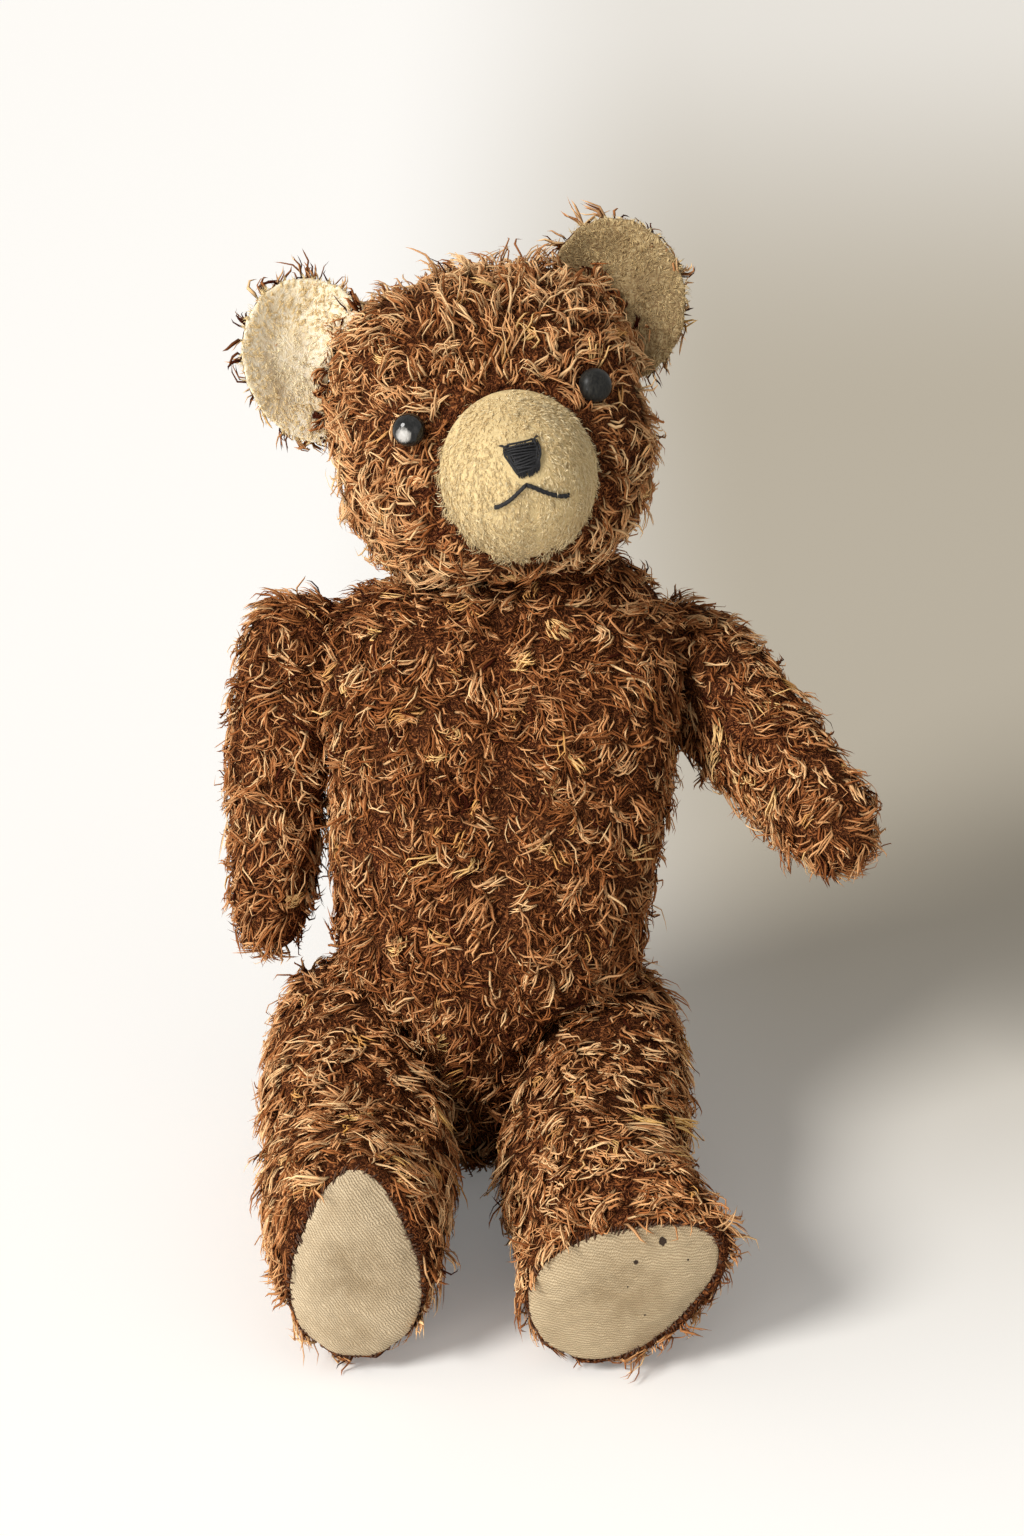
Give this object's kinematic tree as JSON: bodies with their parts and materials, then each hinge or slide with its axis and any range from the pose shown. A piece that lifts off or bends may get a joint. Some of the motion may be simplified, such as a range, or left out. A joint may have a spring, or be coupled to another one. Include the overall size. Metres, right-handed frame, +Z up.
{
  "type": "threadbare teddy bear",
  "caption": "Seated disc-jointed plush bear with swivelling head, arms and legs, worn shaggy brown pile, cream muzzle, glass eyes and linen soles",
  "frame": {"origin": "centre of the flat under the torso that the bear sits on", "axes": "+Z up, the bear faces -Y, and +X is the bear's own left"},
  "size_m": [0.1936, 0.2314, 0.2736],
  "materials": {
    "brown_plush": "worn shaggy pile",
    "cream_plush": "worn short pile",
    "linen": "plain twill weave",
    "black_floss": "stitched floss",
    "black_glass": "polished, one eye dulled",
    "wood_wool": "packed shavings",
    "hardboard": "pressed fibre",
    "steel": "plain, dull"
  },
  "bodies": {
    "torso": {"torso_cover": "brown_plush", "torso_stuffing": "wood_wool", "neck_disc_inner": "hardboard", "neck_washer_inner": "steel", "shoulder_left_disc_inner": "hardboard", "shoulder_left_washer_inner": "steel", "shoulder_right_disc_inner": "hardboard", "shoulder_right_washer_inner": "steel", "hip_left_disc_inner": "hardboard", "hip_left_washer_inner": "steel", "hip_right_disc_inner": "hardboard", "hip_right_washer_inner": "steel"},
    "head": {"head_cover": "brown_plush", "head_stuffing": "wood_wool", "muzzle": "cream_plush", "nose_stitching": "black_floss", "mouth_stitching": "black_floss", "eye_left": "black_glass", "eye_right": "black_glass", "eye_shank_left": "steel", "eye_shank_right": "steel", "ear_back_left": "brown_plush", "ear_back_right": "brown_plush", "ear_lining_left": "cream_plush", "ear_lining_right": "cream_plush", "neck_disc_outer": "hardboard", "neck_washer_outer": "steel", "neck_cotter_pin": "steel"},
    "arm_left": {"arm_left_cover": "brown_plush", "arm_left_stuffing": "wood_wool", "shoulder_left_disc_outer": "hardboard", "shoulder_left_washer_outer": "steel", "shoulder_left_cotter_pin": "steel"},
    "leg_left": {"leg_left_cover": "brown_plush", "leg_left_stuffing": "wood_wool", "foot_pad_left": "linen", "hip_left_disc_outer": "hardboard", "hip_left_washer_outer": "steel", "hip_left_cotter_pin": "steel"},
    "arm_right": {"arm_right_cover": "brown_plush", "arm_right_stuffing": "wood_wool", "shoulder_right_disc_outer": "hardboard", "shoulder_right_washer_outer": "steel", "shoulder_right_cotter_pin": "steel"},
    "leg_right": {"leg_right_cover": "brown_plush", "leg_right_stuffing": "wood_wool", "foot_pad_right": "linen", "hip_right_disc_outer": "hardboard", "hip_right_washer_outer": "steel", "hip_right_cotter_pin": "steel"}
  },
  "joints": [
    {"name": "neck_swivel", "type": "hinge", "parent": "torso", "child": "head", "pos_m": [0.0133, 0.0449, 0.1748], "axis": [-0.225, 0.3011, 0.9267], "range_deg": [-50, 50]},
    {"name": "shoulder_left_swing", "type": "hinge", "parent": "torso", "child": "arm_left", "pos_m": [0.055, 0.037, 0.144], "axis": [-0.8597, -0.5098, -0.03], "range_deg": [-95, 45]},
    {"name": "shoulder_right_swing", "type": "hinge", "parent": "torso", "child": "arm_right", "pos_m": [-0.0435, 0.036, 0.149], "axis": [-0.9982, 0, 0.0602], "range_deg": [-45, 110]},
    {"name": "hip_left_swing", "type": "hinge", "parent": "torso", "child": "leg_left", "pos_m": [0.0197, 0, 0.033], "axis": [-1, 0, 0], "range_deg": [-90, 3]},
    {"name": "hip_right_swing", "type": "hinge", "parent": "torso", "child": "leg_right", "pos_m": [-0.0197, 0, 0.033], "axis": [-1, 0, 0], "range_deg": [-90, 3]}
  ]
}
